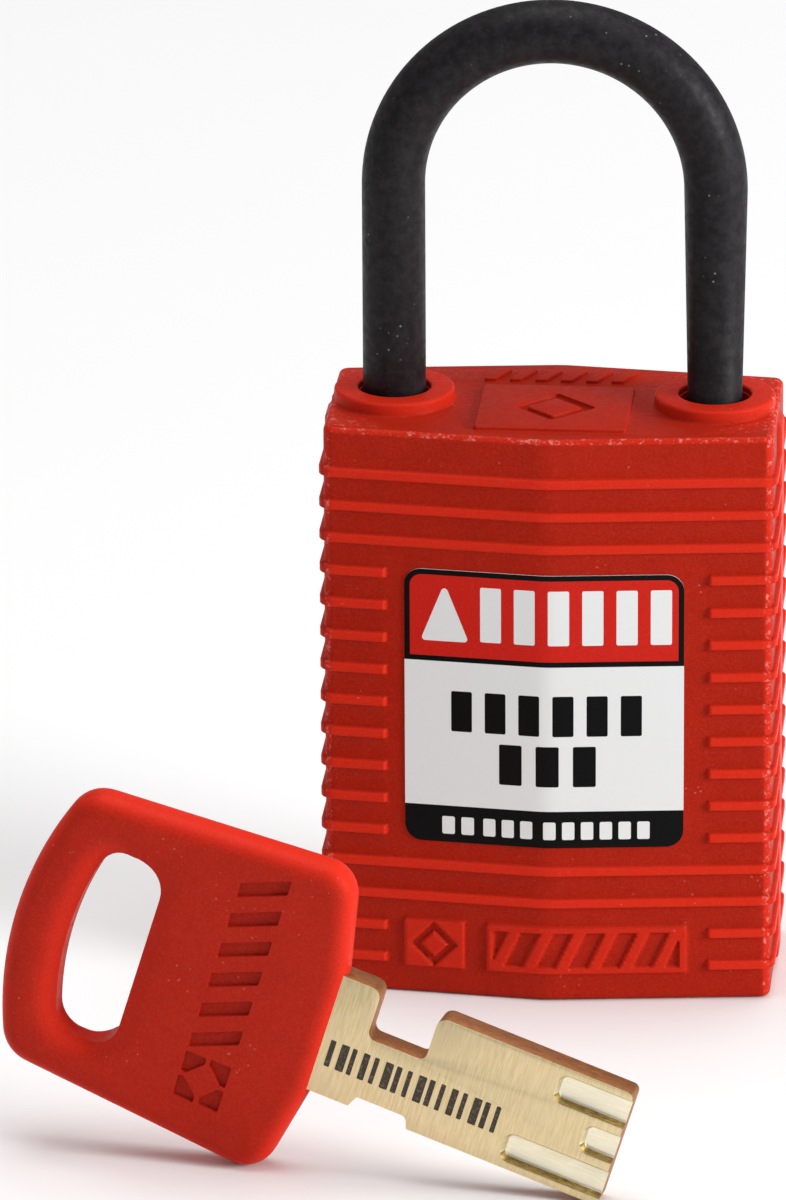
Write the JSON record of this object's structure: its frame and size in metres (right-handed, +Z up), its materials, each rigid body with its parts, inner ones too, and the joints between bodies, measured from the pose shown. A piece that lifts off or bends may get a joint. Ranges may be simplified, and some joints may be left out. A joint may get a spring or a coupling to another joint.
{
  "type": "safety padlock",
  "caption": "Compact lockout padlock: ribbed plastic body with a label, plastic shackle that lifts when the bottom cylinder turns, and a loose key.",
  "frame": {"origin": "centre of the base that the lock stands on", "axes": "+Z up along the key cylinder and towards the shackle, +X to the right, -Y out of the front face with the label"},
  "size_m": [0.0545, 0.0573, 0.0756],
  "materials": {
    "red_nylon": "moulded satin red nylon with a fine grain",
    "black_nylon": "moulded satin black nylon with a fine grain",
    "label_vinyl": "printed vinyl under a clear glossy film",
    "brass": "turned brass",
    "key_brass": "rolled and brushed brass with coppery cut edges",
    "zinc": "die-cast zinc",
    "bright_steel": "bright ground steel"
  },
  "bodies": {
    "case": {"body_shell": "red_nylon", "bottom_cover": "red_nylon", "cover_screws": "bright_steel", "label_front": "label_vinyl", "label_back": "label_vinyl", "cylinder_housing": "zinc", "key_retainer": "bright_steel", "spacer_sleeve": "black_nylon", "spring_seat": "black_nylon", "shackle_spring": "bright_steel"},
    "plug": {"plug": "brass", "plug_clip": "bright_steel", "locking_cam": "zinc", "sidebar": "brass", "sidebar_springs": "bright_steel", "slider_spring_1": "bright_steel", "slider_spring_2": "bright_steel", "slider_spring_3": "bright_steel"},
    "slider_1": {"slider_1": "brass"},
    "slider_2": {"slider_2": "brass"},
    "slider_3": {"slider_3": "brass"},
    "ball_heel": {"ball_heel": "bright_steel"},
    "ball_toe": {"ball_toe": "bright_steel"},
    "shackle": {"shackle": "black_nylon", "heel_ring": "bright_steel"},
    "key": {"key_blade": "key_brass", "key_bow": "red_nylon"}
  },
  "joints": [
    {"name": "plug_turn", "type": "hinge", "parent": "case", "child": "plug", "pos_m": [0, 0, 0.0125], "axis": [0, 0, 1], "range_deg": [0, 90]},
    {"name": "shackle_lift", "type": "slide", "parent": "case", "child": "shackle", "axis": [0, 0, 1], "range_m": [0, 0.0105], "deforming": ["shackle_spring"]},
    {"name": "ball_heel_in", "type": "slide", "parent": "case", "child": "ball_heel", "axis": [1, 0, 0], "range_m": [0, 0.0015]},
    {"name": "ball_toe_in", "type": "slide", "parent": "case", "child": "ball_toe", "axis": [-1, 0, 0], "range_m": [0, 0.0015]},
    {"name": "slider_1_rise", "type": "slide", "parent": "plug", "child": "slider_1", "axis": [0, 0, 1], "range_m": [0, 0.0025], "stiffness_N_per_m": 40, "springref_m": -0.002, "deforming": ["slider_spring_1"]},
    {"name": "slider_2_rise", "type": "slide", "parent": "plug", "child": "slider_2", "axis": [0, 0, 1], "range_m": [0, 0.0025], "stiffness_N_per_m": 40, "springref_m": -0.002, "deforming": ["slider_spring_2"]},
    {"name": "slider_3_rise", "type": "slide", "parent": "plug", "child": "slider_3", "axis": [0, 0, 1], "range_m": [0, 0.0025], "stiffness_N_per_m": 40, "springref_m": -0.002, "deforming": ["slider_spring_3"]},
    {"name": "key_lift", "type": "slide", "parent": "case", "child": "key", "axis": [0, 0, 1], "range_m": [0, 0.05]}
  ],
  "couplings": [
    {"joint": "plug_turn", "follows": "shackle_lift", "rad_per_m": 149.6},
    {"joint": "ball_heel_in", "follows": "shackle_lift", "ratio": 0.14285},
    {"joint": "ball_toe_in", "follows": "shackle_lift", "ratio": 0.14285}
  ]
}
